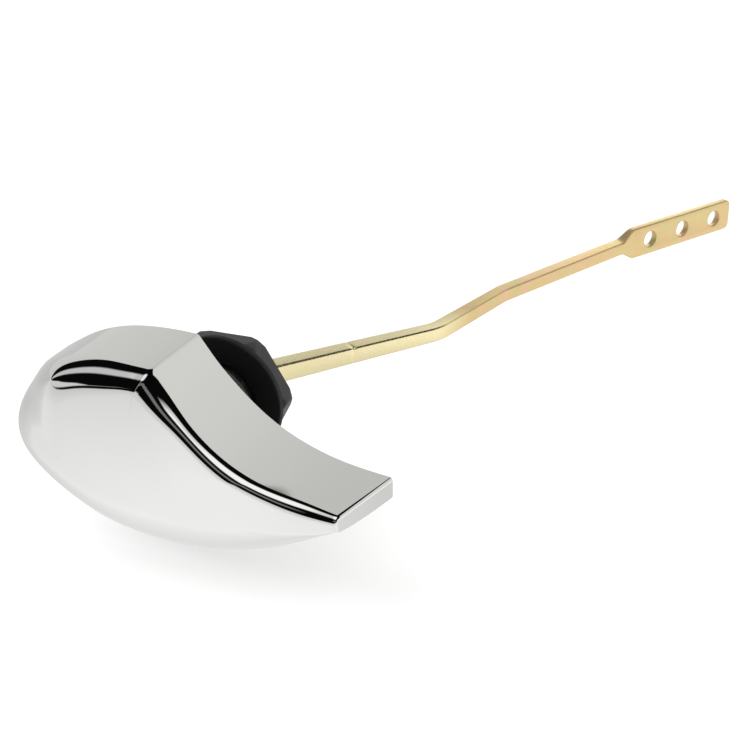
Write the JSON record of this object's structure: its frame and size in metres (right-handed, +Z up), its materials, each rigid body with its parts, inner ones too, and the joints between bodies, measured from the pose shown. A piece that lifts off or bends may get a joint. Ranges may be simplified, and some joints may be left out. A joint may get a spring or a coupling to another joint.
{
  "type": "cistern lever",
  "caption": "Front-mounted cistern flush lever: chromed swept paddle handle, wall bushing with washer and hex nut, and a cranked lift arm with chain holes in its flat end.",
  "frame": {"origin": "on the spindle's axis at the bushing flange's face that seats on the cistern's outside wall", "axes": "+X to the right seen from the front of the cistern, +Y into the cistern along the spindle, +Z up"},
  "size_m": [0.1193, 0.1949, 0.0528],
  "materials": {
    "chrome_plate": "polished",
    "yellow_zinc": "satin",
    "black_plastic": "satin",
    "black_rubber": "matte",
    "grey_plastic": "satin"
  },
  "bodies": {
    "bushing": {"bushing": "black_plastic"},
    "lever": {"handle": "chrome_plate", "arm": "yellow_zinc", "blade": "yellow_zinc"},
    "washer": {"washer": "black_rubber"},
    "nut": {"nut": "grey_plastic"}
  },
  "joints": [
    {"name": "lever_swing", "type": "hinge", "parent": "bushing", "child": "lever", "pos_m": [0, 0, 0], "axis": [0, -1, 0], "range_deg": [0, 30]},
    {"name": "washer_slide", "type": "slide", "parent": "bushing", "child": "washer", "axis": [0, 1, 0], "range_m": [-0.0028, 0.0026]},
    {"name": "nut_turn", "type": "hinge", "parent": "washer", "child": "nut", "pos_m": [0, 0.0111, 0], "axis": [0, 1, 0], "range_deg": [-468, 504]}
  ],
  "couplings": [
    {"joint": "nut_turn", "follows": "washer_slide", "rad_per_m": -3141.6}
  ]
}
